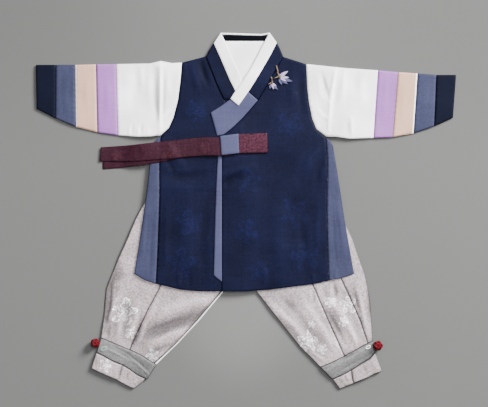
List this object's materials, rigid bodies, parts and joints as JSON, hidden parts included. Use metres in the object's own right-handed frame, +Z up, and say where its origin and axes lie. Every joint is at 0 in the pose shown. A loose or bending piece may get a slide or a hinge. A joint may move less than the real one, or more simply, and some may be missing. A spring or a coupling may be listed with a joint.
{
  "type": "korean hanbok",
  "caption": "Child's hanbok set laid flat: navy vest body with striped sleeves, crossed collar and ties over wide ankle-tied trousers.",
  "frame": {"origin": "middle of the garment's outline on the surface it lies on", "axes": "+X to the right as seen from above, along the spread sleeves; +Y up to the collar; +Z up from the surface"},
  "size_m": [0.7346, 0.6236, 0.0165],
  "materials": {
    "ankle_satin": "grey satin ribbon",
    "beige_silk": "beige silk, soft sheen",
    "blossom_thread": "grey-lilac embroidery thread, satin stitch",
    "cuff_navy": "navy silk, satin",
    "dark_lining": "dark cotton lining",
    "lilac_silk": "lilac silk, soft sheen",
    "maroon_silk": "maroon silk with a faint vine woven in",
    "mint_cord": "pale mint silk tab",
    "navy_silk": "navy silk with a low sheen and a woven-in flower pattern",
    "red_cord": "red silk cord, knotted",
    "silver_silk": "silver-pink silk jacquard, satin sheen",
    "slate_silk": "slate-blue silk, soft sheen",
    "stem_thread": "beige embroidery thread",
    "white_silk": "white silk, soft sheen"
  },
  "bodies": {
    "root": {"ankle_band_left": "ankle_satin", "ankle_band_right": "ankle_satin", "back_lining": "white_silk", "blossom_large": "blossom_thread", "blossom_large_stem": "stem_thread", "blossom_small": "blossom_thread", "blossom_small_stem": "stem_thread", "collar_back": "navy_silk", "collar_end": "slate_silk", "collar_inside": "dark_lining", "collar_over": "navy_silk", "collar_under": "navy_silk", "cuff_left": "silver_silk", "cuff_left_pleat": "silver_silk", "cuff_right": "silver_silk", "cuff_right_pleat": "silver_silk", "front_over": "navy_silk", "front_under": "navy_silk", "knot_left": "red_cord", "knot_loop_right": "white_silk", "knot_right": "red_cord", "knot_tab_left": "mint_cord", "leg_left_inner": "silver_silk", "leg_left_outer": "silver_silk", "leg_left_seam_strip": "white_silk", "leg_right_inner": "silver_silk", "leg_right_middle_back": "silver_silk", "leg_right_middle_front": "silver_silk", "leg_right_outer": "silver_silk", "opening_strip": "slate_silk", "side_panel_left": "slate_silk", "side_panel_right": "slate_silk", "sleeve_left_beige": "beige_silk", "sleeve_left_cuff": "cuff_navy", "sleeve_left_lilac": "lilac_silk", "sleeve_left_slate": "slate_silk", "sleeve_left_white": "white_silk", "sleeve_right_beige": "beige_silk", "sleeve_right_cuff": "cuff_navy", "sleeve_right_lilac": "lilac_silk", "sleeve_right_slate": "slate_silk", "sleeve_right_white": "white_silk", "tie_keeper": "slate_silk", "tie_loop": "maroon_silk", "tie_lower_tail": "maroon_silk", "tie_upper_tail": "maroon_silk", "vest_back": "navy_silk", "waistband": "silver_silk", "white_strip_back": "white_silk", "white_strip_over": "white_silk", "white_strip_under": "white_silk"}
  },
  "joints": []
}
